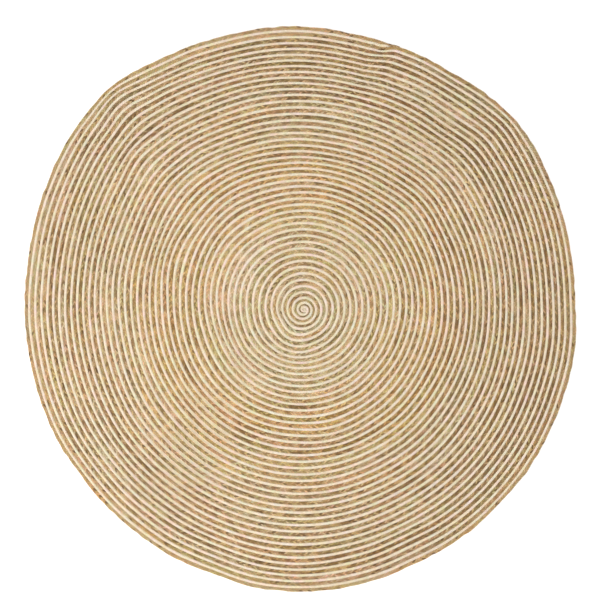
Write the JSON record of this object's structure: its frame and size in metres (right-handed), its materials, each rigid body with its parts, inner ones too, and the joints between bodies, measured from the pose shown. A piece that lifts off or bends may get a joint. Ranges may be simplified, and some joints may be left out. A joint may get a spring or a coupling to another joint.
{
  "type": "round jute rug",
  "caption": "Flat round rug of a tan jute plait and a thinner cream cotton braid, wound side by side from the eye to the rim and sewn flat.",
  "frame": {"origin": "eye of the winding, on the underside, which lies on the floor", "axes": "+Z up through the rug's thickness; +X to the right and +Y up as the rug is seen from above in the picture"},
  "size_m": [2.3909, 2.4485, 0.008],
  "materials": {
    "jute": "matte plaited jute, speckled tan, olive and brown",
    "cotton": "matte braided cotton, cream"
  },
  "bodies": {
    "root": {"jute_plait": "jute", "cotton_braid": "cotton"}
  },
  "joints": []
}
